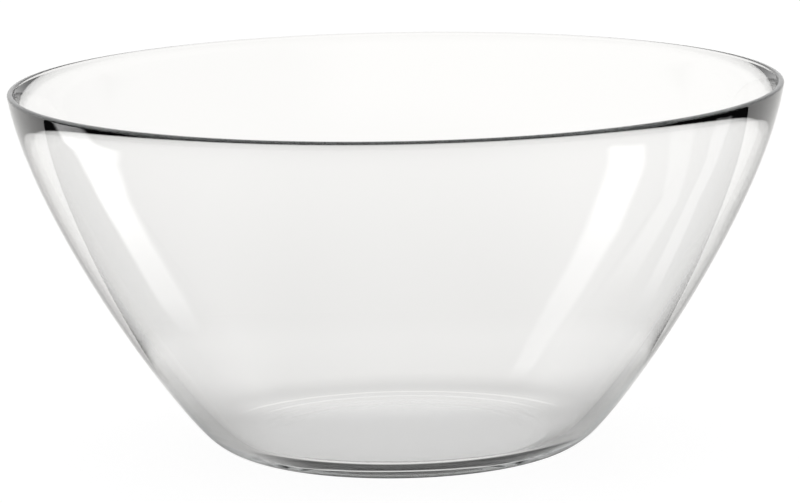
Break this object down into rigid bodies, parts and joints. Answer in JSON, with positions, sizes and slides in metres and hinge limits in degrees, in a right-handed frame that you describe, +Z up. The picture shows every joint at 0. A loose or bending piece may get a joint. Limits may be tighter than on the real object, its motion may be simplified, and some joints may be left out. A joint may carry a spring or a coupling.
{
  "type": "glass bowl",
  "caption": "Round clear glass serving bowl with a thin flared wall, a rounded rim and a flat foot, open at the top.",
  "frame": {"origin": "centre of the foot, on the surface that the bowl stands on", "axes": "+Z up along the bowl's axis of revolution, X and Y level and alike"},
  "size_m": [0.23, 0.23, 0.11],
  "materials": {
    "clear_glass": "clear, fire polished"
  },
  "bodies": {
    "root": {"bowl": "clear_glass"}
  },
  "joints": []
}
